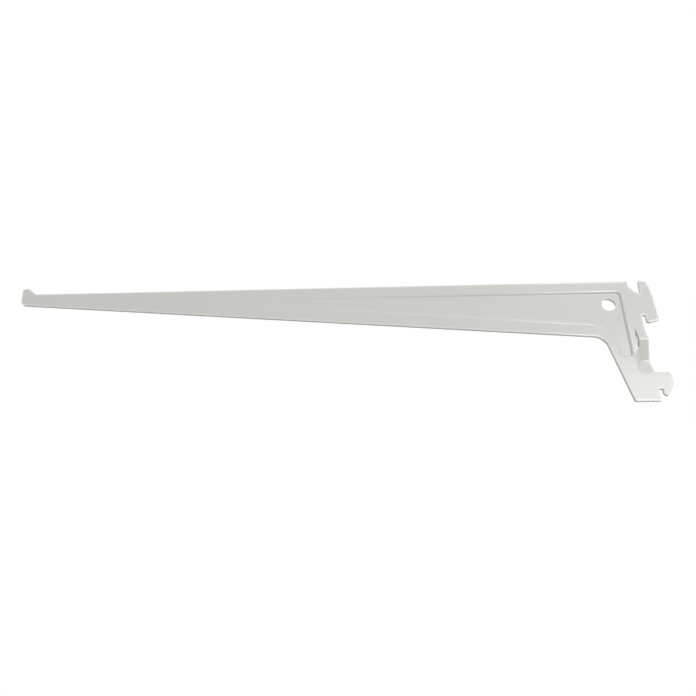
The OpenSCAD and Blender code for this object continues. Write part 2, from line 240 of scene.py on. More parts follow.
class StripSettings(bpy.types.PropertyGroup):
    """Sizes of the waved strip along the rear edge, and of the drawn pit at its lower end."""

    width: FloatProperty(name="Width", description="Width of the strip",
                         default=0.006, unit="LENGTH")
    slit_w: FloatProperty(name="Slit", description="Width of the slit beside it",
                          default=0.0004, unit="LENGTH")
    slit_run: FloatProperty(name="Slit run", description="Length over which the slit opens",
                            default=0.004, unit="LENGTH")
    slit_shut: FloatProperty(name="Slit at its top", description="Share of its width at its top",
                             default=0.12, subtype="FACTOR")
    top_z: FloatProperty(name="Upper end", description="Depth of its upper end",
                         default=0.0351, unit="LENGTH")
    slit_foot_z: FloatProperty(name="Slit end", description="Depth where it crosses the sheet",
                               default=0.0475, unit="LENGTH")
    front_z: FloatProperty(name="Near crest", description="Depth of the crest on the viewed side",
                           default=0.0425, unit="LENGTH")
    front: FloatProperty(name="Near travel", description="Travel of the near crest",
                         default=0.002, unit="LENGTH")
    bend_r: FloatProperty(name="Bends", description="Radius of the bends, at mid sheet",
                          default=0.002, unit="LENGTH")
    back_z: FloatProperty(name="Far crest", description="Depth of the crest on the far side",
                          default=0.056, unit="LENGTH")
    back_flat: FloatProperty(name="Far crest flat", description="Length of the flat along it",
                             default=0.0012, unit="LENGTH")
    pit_reach: FloatProperty(name="Pit reach", description="Reach of the pit from the rear edge",
                             default=0.0092, unit="LENGTH")
    pit_foot_z: FloatProperty(name="Pit foot", description="Depth of its end at the rear edge",
                              default=0.0644, unit="LENGTH")
    pit_toe_z: FloatProperty(name="Pit toe", description="Depth of its lowest point",
                             default=0.0666, unit="LENGTH")
    pit_toe_x: FloatProperty(name="Pit toe along", description="Rear edge to its lowest point",
                             default=0.0052, unit="LENGTH")
    inner_r: FloatProperty(name="Inner radius", description="Radius inside the pit's bends",
                           default=0.0005, unit="LENGTH")
    roll_w: FloatProperty(name="Roll-over", description="Width of its edge's roll-over",
                          default=0.0006, unit="LENGTH")
    roll_h: FloatProperty(name="Roll-over depth", description="Depth of its edge's roll-over",
                          default=0.00045, unit="LENGTH")
    groove_w: FloatProperty(name="Groove", description="Width of the tool's groove at its top",
                            default=0.0007, unit="LENGTH")
    groove_h: FloatProperty(name="Groove depth", description="Depth of that groove",
                            default=0.00012, unit="LENGTH")
    dent_h: FloatProperty(name="Dent", description="Depth of the dent that the pit pulls beside it",
                          default=0.00036, unit="LENGTH")
    dent_w: FloatProperty(name="Dent width", description="Half width of that dent",
                          default=0.0026, unit="LENGTH")
    dent_x: FloatProperty(name="Dent along", description="From the rear edge to its middle",
                          default=0.007, unit="LENGTH")
    dent_z: FloatProperty(name="Dent down", description="Depth of its middle",
                          default=0.053, unit="LENGTH")
    row: FloatProperty(name="Row", description="Spacing of the mesh along the strip",
                       default=0.00035, unit="LENGTH")


class FinishSettings(bpy.types.PropertyGroup):
    """Look of the powder coat."""

    coat: StringProperty(name="Coat", description="sRGB colour of the coat, in hex",
                         default="#c6c7c2")
    # A lighter colour painted on the viewed side's rolled edges and on the nibs: a painted highlight,
    # only partly powder build-up
    thick_coat: StringProperty(name="Thick coat", description="sRGB colour on rolled edges, in hex",
                               default="#d4d4d0")
    thin_coat: StringProperty(name="Thin coat", description="sRGB colour on the sheared edges",
                              default="#b7b8b3")
    roughness: FloatProperty(name="Roughness", description="Roughness of the coat",
                             default=0.18, subtype="FACTOR")
    peel: FloatProperty(name="Peel", description="Width of the coat's orange peel",
                        default=0.0022, unit="LENGTH")
    peel_h: FloatProperty(name="Peel height", description="Height of the orange peel",
                          default=0.000004, unit="LENGTH")
    buckle: FloatProperty(name="Buckle", description="Length of the pressed sheet's slow waves",
                          default=0.045, unit="LENGTH")
    buckle_h: FloatProperty(name="Buckle height", description="Height of those waves",
                            default=0.00008, unit="LENGTH")
    tear: FloatProperty(name="Tear", description="Spacing of the marks across sheared edges",
                        default=0.0006, unit="LENGTH")
    tear_h: FloatProperty(name="Tear height", description="Height of those marks",
                          default=0.00005, unit="LENGTH")
    tear_run: FloatProperty(name="Tear run", description="Length of those marks, across the sheet",
                            default=0.004, unit="LENGTH")
    patch: FloatProperty(name="Patch", description="Width of faint patches of thinner coat",
                         default=1 / 22, unit="LENGTH")


class StudioSettings(bpy.types.PropertyGroup):
    """Camera, lamps, floor and background."""

    eye: FloatVectorProperty(name="Camera", description="Place of the camera",
                             default=(-0.16385, -0.33751, -0.20564), subtype="TRANSLATION")
    ahead: FloatVectorProperty(name="Ahead", description="Direction of view",
                               default=(-0.05964, 0.90087, 0.42996), subtype="DIRECTION")
    upright: FloatVectorProperty(name="Up", description="Direction that is up in the picture",
                                 default=(0.01627, -0.4298, 0.90278), subtype="DIRECTION")
    lens: FloatProperty(name="Lens", description="Focal length on a sensor 36 mm wide",
                        default=30.308, unit="CAMERA")
    floor_z: FloatProperty(name="Floor", description="Height of the floor",
                           default=-2.5, unit="LENGTH")
    floor_w: FloatProperty(name="Floor width", description="Width of the square floor",
                           default=40.0, unit="LENGTH")
    floor: StringProperty(name="Floor colour", description="sRGB colour of the floor, in hex",
                          default="#f1f1ee")
    glow: FloatProperty(name="Floor glow", description="What is added to the floor where it is seen",
                        default=0.42, min=0)
    side: FloatProperty(name="Side lamp", description="Power of the lamp in front to the right",
                        default=8.8, unit="POWER")
    low: FloatProperty(name="Low lamp", description="Power of the lamp in front of its lower half",
                       default=3.4, unit="POWER")
    high: FloatProperty(name="High lamp", description="Power of the small lamp above it",
                        default=1.3, unit="POWER")
    over: FloatProperty(name="Overhead", description="Power of the wide light over the floor",
                        default=45.0, unit="POWER")
    left: FloatProperty(name="Left lamp", description="Power of the lamp beyond the arm's nose",
                        default=6.0, unit="POWER")
    rear: FloatProperty(name="Rear lamp", description="Power of the lamp behind",
                        default=30.0, unit="POWER")
    room: FloatProperty(name="Room light", description="Strength of the light from all round",
                        default=0.41, min=0)


# Each lamp faces its target from a distance along a direction. The flat leg mirrors the side lamp's
# upper edge to the camera. Near the rear edge, faces turned down by about 7 to 18 degrees mirror
# the low lamp, and faces turned up by about 4 to 10 degrees the high one. The powers are in
# StudioSettings, under the same names
REAR = (0, 0, -0.07)
MIDDLE = (-0.2, 0, -0.03)
Lamp = namedtuple("Lamp", "name target away distance size")
LAMPS = (
    Lamp("side", REAR, away=(0.485, -0.86, 0.135), distance=1.4, size=(0.75, 0.78)),
    Lamp("low", REAR, away=(0.37, -0.92, 0.09), distance=1.4, size=(0.42, 0.44)),
    Lamp("high", REAR, away=(0.28, -0.69, 0.67), distance=1.2, size=(0.25, 0.17)),
    Lamp("rear", MIDDLE, away=(0.5, 1.0, 0.5), distance=2.4, size=(2.6, 1.4)),
    Lamp("left", REAR, away=(-0.85, -0.5, 0.15), distance=2.5, size=(1.6, 0.8)),
    Lamp("over", MIDDLE, away=(0, 0, 1), distance=3.0, size=(7.0, 7.0)),
)


# Plane geometry

def left(v):
    """Turns (a, b) a quarter turn to the left: (-b, a)."""
    return np.stack([-v[..., 1], v[..., 0]], axis=-1)


def unit(v):
    """Each vector divided by its length."""
    return v / np.linalg.norm(v, axis=-1, keepdims=True)


def cross(u, v):
    """The number u0 * v1 - u1 * v0."""
    return u[..., 0] * v[..., 1] - u[..., 1] * v[..., 0]


def meet(p, u, q, v):
    """Where the line from p along u meets the line from q along v."""
    return p + u * cross(q - p, v) / cross(u, v)


def arcs(corners, steps):
    """Arcs that round all corners (a, b, r) but the first and the last.

    With u and v the directions into and out of a corner, the arc turns from u to v about
    centre = start + r * left(u). At angle t its left normal is left(u) cos t - u sin t, and its
    point is centre - r * normal. r is held to what half of the shorter side has room for.
    Returns the points and the left normals.
    """
    c = np.asarray(corners, float)
    p = c[1:-1, :2]
    into = p - c[:-2, :2]
    out = c[2:, :2] - p
    u, v = unit(into), unit(out)
    turn = np.arctan2(cross(u, v), (u * v).sum(axis=-1))
    slope = np.abs(np.tan(turn / 2))
    room = 0.5 * np.minimum(np.linalg.norm(into, axis=-1), np.linalg.norm(out, axis=-1))
    r = np.minimum(c[1:-1, 2], room / slope)
    signed = (r * np.sign(turn))[:, None]
    centre = p - u * (r * slope)[:, None] + left(u) * signed
    t = turn[:, None, None] * np.linspace(0, 1, steps + 1)[None, :, None]
    normals = left(u)[:, None] * np.cos(t) - u[:, None] * np.sin(t)
    points = centre[:, None] - normals * signed[:, None]
    return points.reshape(-1, 2), normals.reshape(-1, 2)


def closed_path(corners, steps=CORNER_STEPS):
    """A closed path through rounded corners, without points that repeat the one before."""
    c = np.asarray(corners, float)
    points, normals = arcs(np.vstack([c[-1:], c, c[:1]]), steps)
    apart = np.linalg.norm(points - np.roll(points, 1, axis=0), axis=1) > TINY
    return points[apart], normals[apart]


def refine(points, normals):
    """Puts points into the straight stretches of a path, close together near their ends."""
    near = np.array(END_POINTS)
    out_p, out_n = [], []
    for p, q, n in zip(points, np.roll(points, -1, axis=0), normals):
        length = np.linalg.norm(q - p)
        s = np.zeros(1)
        if length > END_POINTS[1]:
            ends = near[near < 0.4 * length]
            middle = np.arange(MIDDLE_FROM, length - MIDDLE_FROM, MIDDLE_STEP)
            s = np.concatenate([s, ends, middle, np.sort(length - ends)])
        out_p.append(p + s[:, None] * (q - p) / length)
        out_n.append(np.repeat(n[None], len(s), axis=0))
    return np.vstack(out_p), np.vstack(out_n)


def room_inside(points, normals):
    """The largest circle that touches a path on its left at each point and holds no other point.

    A circle that touches at p with normal n and goes through q has radius |q - p|^2 / (2 n (q - p)).
    """
    v = points[None] - points[:, None]
    ahead = np.einsum("ijk,ik->ij", v, normals)
    square = (v * v).sum(axis=-1)
    return np.where(ahead > 1e-7, square / (2 * np.maximum(ahead, 1e-7)), np.inf).min(axis=1)


def inside(points, ring):
    """Even-odd rule: a ray from an inner point towards +x crosses the ring an odd number of times."""
    a, b = ring, np.roll(ring, -1, axis=0)
    x, z = points[:, 0:1], points[:, 1:2]
    rise = np.where(b[:, 1] == a[:, 1], 1, b[:, 1] - a[:, 1])
    at = a[:, 0] + (z - a[:, 1]) * (b[:, 0] - a[:, 0]) / rise
    crosses = (a[:, 1] > z) != (b[:, 1] > z)
    return (crosses & (at > x)).sum(axis=1) % 2 == 1


# Outlines of the sheet

def sheet_corners(arm, hooks):
    """Corners (x, z, r) of the sheet, anticlockwise as seen from the viewed side."""
    nose_x = arm.seat_l + arm.nose_ramp + arm.nose_crest
    throat_w, lean = hooks.throat_w, hooks.notch_lean
    upper_z = -hooks.throat_z - hooks.upper_drop
    lower_z = -hooks.throat_z - hooks.slot_pitch
    lower_top = lower_z + hooks.lower_rise
    lower_tip = lower_z - hooks.lower_drop
    return [
        (-arm.seat_l, 0, arm.soft_r),
        (-arm.seat_l - arm.nose_ramp, arm.nose_rise, arm.tip_r),
        (-nose_x, arm.nose_rise - arm.nose_fall, arm.soft_r),
        (-nose_x + arm.nose_lean, -arm.arm_tip_h, arm.nose_r),
        (-arm.elbow_x, -arm.arm_root_h, arm.elbow_r),
        (-arm.foot_w, -arm.leg_drop, arm.foot_r),
        (0, -arm.leg_drop, arm.edge_r),
        (0, lower_z, hooks.throat_r),
        (throat_w, lower_z, hooks.throat_r),
        (throat_w, lower_z - hooks.hook_land * hooks.lower_drop, arm.soft_r),
        (hooks.lower_tip_x, lower_tip, arm.tip_r),
        (hooks.lower_reach - arm.edge_r, lower_tip + hooks.lower_slant_h, arm.soft_r),
        (hooks.lower_reach, lower_top, hooks.lower_r),
        (0, lower_top, arm.edge_r),
        (0, -hooks.throat_z, hooks.throat_r),
        (throat_w, -hooks.throat_z, hooks.throat_r),
        (throat_w, upper_z, arm.soft_r),
        (hooks.upper_reach, upper_z + hooks.upper_tip_rise, arm.tip_r),
        (hooks.upper_reach - arm.edge_r, -hooks.upper_taper_z, arm.blend_r),
        (0.5 * (hooks.upper_reach + arm.edge_r + hooks.upper_top_reach),
         -hooks.taper_mid * hooks.upper_taper_z, arm.blend_r),
        (hooks.upper_top_reach, 0, arm.edge_r),
        (throat_w + 0.5 * lean, 0, arm.edge_r),
        (throat_w - 0.5 * lean, -hooks.notch_h, arm.tip_r),
        (-hooks.notch_mid_x * hooks.notch_front, -hooks.notch_mid_z * hooks.notch_h, arm.blend_r),
        (-hooks.notch_front + arm.edge_r, -hooks.notch_wall_h, arm.blend_r),
        (-hooks.notch_front, 0, arm.edge_r),
    ]


def panel_corners(arm, panel):
    """Corners of the panel, parallel to the edges of the sheet round it."""
    nose_x = arm.seat_l + arm.nose_ramp + arm.nose_crest
    tip = np.array([-nose_x + arm.nose_lean, -arm.arm_tip_h])
    elbow = np.array([-arm.elbow_x, -arm.arm_root_h])
    foot = np.array([-arm.foot_w, -arm.leg_drop])
    arm_dir, leg_dir = unit(elbow - tip), unit(foot - elbow)
    arm_line = elbow + left(arm_dir) * panel.rim_bottom
    leg_line = elbow + left(leg_dir) * panel.rim_leg
    end = meet(arm_line, arm_dir, np.array([-panel.end, 0]), np.array([0, 1]))
    bend = meet(arm_line, arm_dir, leg_line, leg_dir)
    low = meet(leg_line, leg_dir, np.array([0, -panel.drop]), np.array([1, 0]))
    r = panel.corner_r
    return [
        (-panel.rim_rear, -panel.rim_top, r),
        (-panel.end, -panel.rim_top, r),
        (*end, r),
        (*bend, panel.elbow_r),
        (*low, r),
        (-panel.rim_rear, -panel.drop, r),
    ]


def hole_path(panel):
    """The hole's circle, clockwise: its left normals point out of the hole, into the sheet."""
    t = -np.linspace(0, 2 * math.pi, HOLE_STEPS, endpoint=False)
    out = np.stack([np.cos(t), np.sin(t)], axis=-1)
    centre = np.array([-panel.hole_x, -panel.hole_z])
    return centre + out * panel.hole_d / 2, out


def slit_opening(z, strip):
    """Width of the slit at height z: it is all but shut at its top, and opens evenly below."""
    return strip.slit_w * np.clip((-strip.top_z - z) / strip.slit_run, strip.slit_shut, 1)


def slit_path(strip):
    """The slit beside the strip, clockwise, with a point on each row of the strip's mesh.

    The third result is 1 on the strip's side of it and 0 on the other side.
    """
    x0, x1 = -strip.width - strip.slit_w, -strip.width
    top, low = -strip.top_z, -strip.slit_foot_z
    r = 0.45 * strip.slit_w
    points, normals = closed_path([(x0, low, r), (x0, top, r), (x1, top, r), (x1, low, r)], 4)
    rows = np.arange(top - strip.row, low + 0.5 * strip.row, -strip.row)
    points, normals = add_rows(*add_rows(points, normals, x1, rows), x0, rows)
    share = np.clip((points[:, 0] - x0) / (x1 - x0), 0, 1)
    points[:, 0] = x1 + (share - 1) * slit_opening(points[:, 1], strip)
    return points, normals, share


def add_rows(points, normals, x, rows):
    """Puts points at heights rows into the longest straight stretch of a path along x."""
    after = np.roll(points, -1, axis=0)
    on_line = (np.abs(points[:, 0] - x) < TINY) & (np.abs(after[:, 0] - x) < TINY)
    length = np.where(on_line, np.abs(after[:, 1] - points[:, 1]), 0)
    i = int(np.argmax(length))
    a, b = points[i, 1], after[i, 1]
    low, high = min(a, b), max(a, b)
    z = np.sort(rows[(rows > low + 2e-5) & (rows < high - 2e-5)])
    z = z if b > a else z[::-1]
    new = np.stack([np.full_like(z, x), z], axis=-1)
    points = np.insert(points, i + 1, new, axis=0)
    normals = np.insert(normals, i + 1, np.repeat(normals[i:i + 1], len(z), axis=0), axis=0)
    return points, normals


# Profiles, each a list of (distance into the material, y) with its normals

def edge_profile(y_near, y_far, roll_w, roll_h, roll_far):
    """A sheared edge: a quarter ellipse from the near face, a straight wall, a quarter round.

    The ellipse is (w (1 - sin t), h (1 - cos t)), and its normal lies along (-h sin t, -w cos t).
    """
    t = np.linspace(0, math.pi / 2, 2 * ROLL_STEPS + 1)
    near = np.stack([roll_w * (1 - np.sin(t)), y_near + roll_h * (1 - np.cos(t))], axis=-1)
    near_n = unit(np.stack([-roll_h * np.sin(t), -roll_w * np.cos(t)], axis=-1))
    t = np.linspace(0, math.pi / 2, ROLL_STEPS + 1)
    far = np.stack([roll_far * (1 - np.cos(t)), y_far - roll_far * (1 - np.sin(t))], axis=-1)
    far_n = np.stack([-np.cos(t), np.sin(t)], axis=-1)
    return np.vstack([near, far]), np.vstack([near_n, far_n])


def near_wall(arm, panel):
    """The panel's wall on the viewed side: a wide roll, a tight bend, a slope and a small foot.

    A roll of radius R from angle a to b goes R (sin b - sin a) in and R (cos a - cos b) down.
    The slope lies on the line depth = inward distance * tan(wall angle).
    """
    end = panel.wall_a
    parts = [(panel.shoulder_r, 0, panel.shoulder_a), (panel.bend_r, panel.shoulder_a, end),
             (panel.near_foot_r, end, 0)]
    profile, normals = [], []
    for r, a, b in parts:
        t = np.linspace(a, b, ROLL_STEPS + 3)
        turn = math.copysign(1, b - a)
        inward, down = turn * r * (np.sin(t) - math.sin(a)), turn * r * (math.cos(a) - np.cos(t))
        profile.append(np.stack([inward, down], axis=-1))
        normals.append(np.stack([np.sin(t), -np.cos(t)], axis=-1))
    profile[1] += profile[0][-1]
    profile[2] += (0, panel.depth - profile[2][-1, 1])
    profile[2][:, 0] += profile[2][0, 1] / math.tan(end)
    back = profile[1][-1, 1] / math.tan(end) - profile[1][-1, 0]
    profile[0][:, 0] += back
    profile[1][:, 0] += back
    profile, normals = np.vstack(profile), np.vstack(normals)
    fresh = np.append(True, np.linalg.norm(np.diff(profile, axis=0), axis=1) > 1e-7)
    profile, normals = profile[fresh], normals[fresh]
    profile[:, 1] -= arm.sheet_t / 2
    return profile, normals


def far_wall(arm, panel):
    """The same wall on the far side, one sheet behind: a small foot, then a shoulder of one sheet."""
    a, r, sheet = panel.wall_a, panel.far_foot_r, arm.sheet_t
    t = np.linspace(0, a, ROLL_STEPS + 3)
    foot_d = -(sheet + r) * math.tan(a / 2)
    foot = np.stack([foot_d + r * np.sin(t), sheet + r * (1 - np.cos(t))], axis=-1)
    wall_run = panel.depth / math.tan(a)
    shoulder = np.stack([wall_run - sheet * np.sin(t), panel.depth + sheet * np.cos(t)], axis=-1)[::-1]
    n = np.stack([-np.sin(t), np.cos(t)], axis=-1)
    profile = np.vstack([foot, shoulder])
    profile[:, 1] -= arm.sheet_t / 2
    return profile, np.vstack([n, n[::-1]])


# Surfaces

class Shell:
    """Points, normals and faces of one closed surface, with where each point lies on an edge."""

    def __init__(self):
        self.points = np.empty((0, 3))
        self.normals = np.empty((0, 3))
        self.along = np.empty((0, 3))
        self.painted_highlight = np.empty(0)
        self.faces = []

    def add(self, points, normals, along=None, painted_highlight=None):
        """Adds points and returns their numbers."""
        first = len(self.points)
        along = np.zeros_like(points) if along is None else along
        painted_highlight = np.zeros(len(points)) if painted_highlight is None else painted_highlight
        self.points = np.vstack([self.points, points])
        self.normals = np.vstack([self.normals, normals])
        self.along = np.vstack([self.along, along])
        self.painted_highlight = np.concatenate([self.painted_highlight, painted_highlight])
        return np.arange(first, len(self.points))

    def raise_to(self, numbers, y, share):
        """Brings points, and the slopes of their normals, to a share of their distance from y."""
        self.points[numbers, 1] = y + share * (self.points[numbers, 1] - y)
        across = np.stack([share, np.ones_like(share), share], axis=-1)
        self.normals[numbers] = unit(self.normals[numbers] * across)

    def band(self, path, profile, turned=False, sheared=False, with_highlight=False, narrow=1.0):
        """Carries a profile along a closed path.

        Point (i, k) is path point i moved d_k along its left normal, at height y_k. Its normal is
        the profile's, with the part along d turned to the path's left normal. Where the band is
        narrowed to a share s of its width, d is s d_k, and the part of the normal along d is
        divided by s. A sheared band keeps the length along the path and the height, for the marks
        across it.
        """
        (p, n), (q, m) = path, profile
        s = np.broadcast_to(narrow, len(p))[:, None, None]
        flat = p[:, None] + s * q[None, :, 0:1] * n[:, None]
        y = np.broadcast_to(q[:, 1], flat.shape[:2])
        points = np.stack([flat[..., 0], y, flat[..., 1]], axis=-1)
        side = m[None, :, 0:1] * n[:, None] / s
        normals = np.stack([side[..., 0], np.broadcast_to(m[:, 1], y.shape), side[..., 1]], axis=-1)
        normals = unit(normals)
        step = np.linalg.norm(p - np.roll(p, 1, axis=0), axis=1)
        step[0] = 0
        run = np.broadcast_to(np.cumsum(step)[:, None], y.shape)
        mask = np.broadcast_to(np.abs(m[:, 0]) ** 3 if sheared else np.zeros(len(q)), y.shape)
        along = np.stack([run, y, mask], axis=-1)
        # On bands with the highlight, the viewed side's rolled edge gets a share of the lighter colour:
        # a painted highlight
        rolled = np.clip(-8 * m[:, 1] * np.abs(m[:, 0]), 0, 1) if with_highlight else np.zeros(len(q))
        grid = self.add(points.reshape(-1, 3), normals.reshape(-1, 3), along.reshape(-1, 3),
                        np.broadcast_to(rolled, y.shape).ravel())
        grid = grid.reshape(y.shape)
        a, b = grid[:, :-1], np.roll(grid, -1, axis=0)[:, :-1]
        c, d = np.roll(grid, -1, axis=0)[:, 1:], grid[:, 1:]
        order = (a, b, c, d) if turned else (a, d, c, b)
        self.faces.extend(np.stack(order, axis=-1).reshape(-1, 4).tolist())
        return grid

    def fill(self, rim, holes, facing, loose=()):
        """Triangles of the flat area inside one ring and outside the others.

        They are the Delaunay triangles of all the points that lie within the closed line of the
        rim, kept where their middle is outside each hole, and turned to face -Y or +Y.
        """
        rings = [rim, *holes]
        index = np.concatenate([*rings, np.asarray(loose, int)])
        flat = self.points[index][:, [0, 2]] * 1000
        starts = np.cumsum([0, *[len(r) for r in rings]])
        edges = [(s + i, s + (i + 1) % len(r))
                 for s, r in zip(starts, rings) for i in range(len(r))]
        within_edges = 1
        _, _, triangles, origin, _, _ = delaunay_2d_cdt(
            [Vector(v) for v in flat.tolist()], edges, [], within_edges, 1e-6)
        if any(not o for o in origin):
            raise RuntimeError("two rings of a flat area cross")
        tri = np.array([o[0] for o in origin])[np.array(triangles)]
        middle = flat[tri].mean(axis=1)
        keep = np.ones(len(tri), bool)
        for s, ring in zip(starts[1:], holes):
            keep &= ~inside(middle, flat[s:s + len(ring)])
        tri = tri[keep]
        a, b, c = flat[tri[:, 0]], flat[tri[:, 1]], flat[tri[:, 2]]
        wrong = cross(b - a, c - a) * facing > 0
        tri[wrong] = tri[wrong][:, ::-1]
        self.faces.extend(index[tri].tolist())

    def mesh(self, name):
        """A smooth mesh with these normals. Its attributes are the place along sheared edges and the
        share of painted highlight on the rolled edges.
        """
        mesh = bpy.data.meshes.new(name)
        mesh.from_pydata(self.points.tolist(), [], self.faces)
        mesh.polygons.foreach_set("use_smooth", np.ones(len(mesh.polygons), bool))
        where = mesh.attributes.new("sheared_edge", "FLOAT_VECTOR", "POINT")
        where.data.foreach_set("vector", self.along.ravel())
        highlight_share = mesh.attributes.new("coat_build_up", "FLOAT", "POINT")
        highlight_share.data.foreach_set("value", self.painted_highlight)
        if mesh.validate(verbose=False):
            raise RuntimeError(f"{name}: the surface has bad faces")
        mesh.normals_split_custom_set_from_vertices(self.normals.tolist())
        mesh.update()
        return mesh


# Pressing of the rear edge

def least(a, b, soft):
    """The smaller of two surfaces, blended by soft h^2 / 4 where they are less than soft apart."""
    soft = np.maximum(soft, 1e-9)
    h = np.maximum(soft - np.abs(a - b), 0) / soft
    return np.minimum(a, b) - soft * h * h / 4


def most(a, b, soft):
    """The larger of two surfaces, blended in the same way."""
    return -least(-a, -b, soft)


def bend(slope, r):
    """How far apart two planes are where a bend of radius r begins: r s tan(atan(s) / 2)."""
    return r * slope * math.tan(math.atan(slope) / 2)


def pit_planes(half, strip):
    """Planes (a, b, c) of the pit's walls, with depth = a x + b z + c below the face.

    The pit is the hull of its rim, just past the face and the rear edge, and of the far crest. Of
    all the planes through three of their points, the walls are those with every other point on
    their shallow side. The rim's upper front corner is cut by a slant of corner_drop in height.
    Returns the slope that the strip comes down along, and then the other walls.
    """
    past, clear = 0.0002, 0.001
    slant_top, slant_foot, corner_drop, rear_lift = 0.3, 0.2, 0.004, 0.0004
    slope = strip.front / (strip.slit_foot_z - strip.front_z)
    high = strip.back_z - 0.5 * strip.back_flat
    deep = slope * (high - strip.slit_foot_z) + half - half * math.hypot(1, slope)
    top = high - (deep + past) / slope
    slit_x = strip.width + strip.slit_w
    wide = strip.pit_reach - slit_x
    rim = [(clear, -top), (-slit_x, -top),
           (-strip.pit_reach + slant_top * wide, -top - corner_drop), (-strip.pit_reach, -strip.back_z),
           (-strip.pit_reach + slant_foot * wide, -strip.pit_foot_z),
           (-strip.pit_toe_x, -strip.pit_toe_z), (clear, -strip.pit_foot_z + rear_lift)]
    crest = [(x, -z) for x in (-strip.width, clear) for z in (high, high + strip.back_flat)]
    points = np.array([(*q, -past) for q in rim] + [(*q, deep) for q in crest])
    pick = np.array(list(combinations(range(len(points)), 3)))
    flat = np.concatenate([points[pick][:, :, :2], np.ones((len(pick), 3, 1))], axis=-1)
    sound = np.abs(np.linalg.det(flat)) > 1e-9
    planes = np.linalg.solve(flat[sound], points[pick][sound][:, :, 2:])[:, :, 0]
    over = planes[:, :2] @ points[:, :2].T + planes[:, 2:] - points[:, 2]
    planes = planes[(over > -1e-8).all(axis=1)]
    planes = np.unique(planes.round(6), axis=0)
    along = (np.abs(planes[:, 0]) < 1e-4) & (planes[:, 1] < -0.5 * slope)
    return planes[along], planes[~along]


def rear_heights(x, z, half, strip):
    """Heights y of the near and the far face over (x, z), with the strip and the pit pressed in.

    The strip's middle line is a rounded path, and its faces lie half a sheet to either side of it.
    The pit's near face is the least of its walls, and its far face the least of the same planes
    moved out by one sheet. Right of the slit the strip meets the pit, and left of it the flat
    sheet does. The dent beside the pit and the groove at the strip's top are bells,
    h exp(-(distance / width)^2), the dent's twice as long as wide.
    """
    slope = strip.front / (strip.slit_foot_z - strip.front_z)
    line = np.array([
        (0, -strip.top_z + 0.001, 0),
        (0, -strip.top_z, strip.bend_r),
        (-strip.front, -strip.front_z, strip.bend_r),
        (slope * 0.03, -strip.slit_foot_z - 0.03, 0),
    ])
    middle, side = arcs(line, BEND_STEPS)
    middle = np.vstack([(0, line[0, 1]), middle, line[-1, :2]])[::-1]
    side = np.vstack([(1, 0), side, side[-1]])[::-1]
    near = middle - half * side
    far = middle + half * side
    groove = strip.groove_h * np.exp(-((z + strip.top_z) / strip.groove_w) ** 2)
    strip_near = np.interp(z, near[:, 1], near[:, 0], right=-half) + half + groove
    strip_far = np.interp(z, far[:, 1], far[:, 0], right=half) + half

    down, walls = pit_planes(half, strip)
    small, big = strip.inner_r, strip.inner_r + 2 * half
    crease = bend(2 * slope, small), bend(2 * slope, big)

    def pit(planes, first, rest, moved, rim_r, soft):
        """The least of the planes, moved out and bent over to the rest of the face at the rim."""
        depth = first
        for plane in planes:
            steep = math.hypot(*plane[:2])
            wall = plane[0] * x + plane[1] * z + plane[2] + moved * math.hypot(1, steep)
            wall = most(wall, rest, bend(steep, rim_r))
            low = np.minimum(depth, wall) - rest
            depth = least(depth, wall, np.clip(low, 0, soft))
        return depth

    sheet, none = 2 * half, np.full_like(x, 1.0)
    left_near = pit([*walls, *down], none, 0, 0, big, crease[0])
    left_far = pit([*walls, *down], none, sheet, sheet, small, crease[1])
    right_near = pit(walls, strip_near, 0, 0, big, crease[0])
    right_far = pit(walls, strip_far, sheet, sheet, small, crease[1])

    share = np.clip((x + strip.width) / slit_opening(z, strip) + 1, 0, 1)
    share = share * share * (3 - 2 * share)
    dent = strip.dent_h * np.exp(-((x + strip.dent_x) / strip.dent_w) ** 2
                                 - ((z + strip.dent_z) / (2 * strip.dent_w)) ** 2)
    return (left_near + share * (right_near - left_near) + dent - half,
            left_far + share * (right_far - left_far) + dent - half)


def press_rear(points, normals, half, strip):
    """Moves points to the pressed heights: y becomes near + (far - near) (y + half) / (2 half).

    A normal (a, b, c) becomes (a - b Yx / Yy, b / Yy, c - b Yz / Yy), where Yx, Yy and Yz are that
    height's slopes along x, y and z.
    """
    x, y, z = points.T
    t = (y + half) / (2 * half)

    def height(x, z):
        near, far = rear_heights(x, z, half, strip)
        return near + (far - near) * t, (far - near) / (2 * half)

    step = 2e-6
    moved, stretch = height(x, z)
    along_x = (height(x + step, z)[0] - height(x - step, z)[0]) / (2 * step)
    along_z = (height(x, z + step)[0] - height(x, z - step)[0]) / (2 * step)
    a, b, c = normals.T
    turned = np.stack([a - b * along_x / stretch, b / stretch, c - b * along_z / stretch], axis=-1)
    return np.stack([x, moved, z], axis=-1), unit(turned)


# Nodes and colours

def linear(hex_colour):
    """A linear RGBA colour from an sRGB one in hex."""
    srgb = np.array([int(hex_colour[i:i + 2], 16) for i in (1, 3, 5)]) / 255
    rgb = np.where(srgb <= 0.04045, srgb / 12.92, ((srgb + 0.055) / 1.055) ** 2.4)
    return (*rgb.tolist(), 1.0)


def add_node(tree, kind, inputs=None, **settings):
    """Adds a node with its settings. An input that is a socket is linked, any other is set."""
    node = tree.nodes.new(kind)
    for name, value in settings.items():
        setattr(node, name, value)
    for name, value in (inputs or {}).items():
        if isinstance(value, bpy.types.NodeSocket):
            tree.links.new(value, node.inputs[name])
        else:
            node.inputs[name].default_value = value
    return node


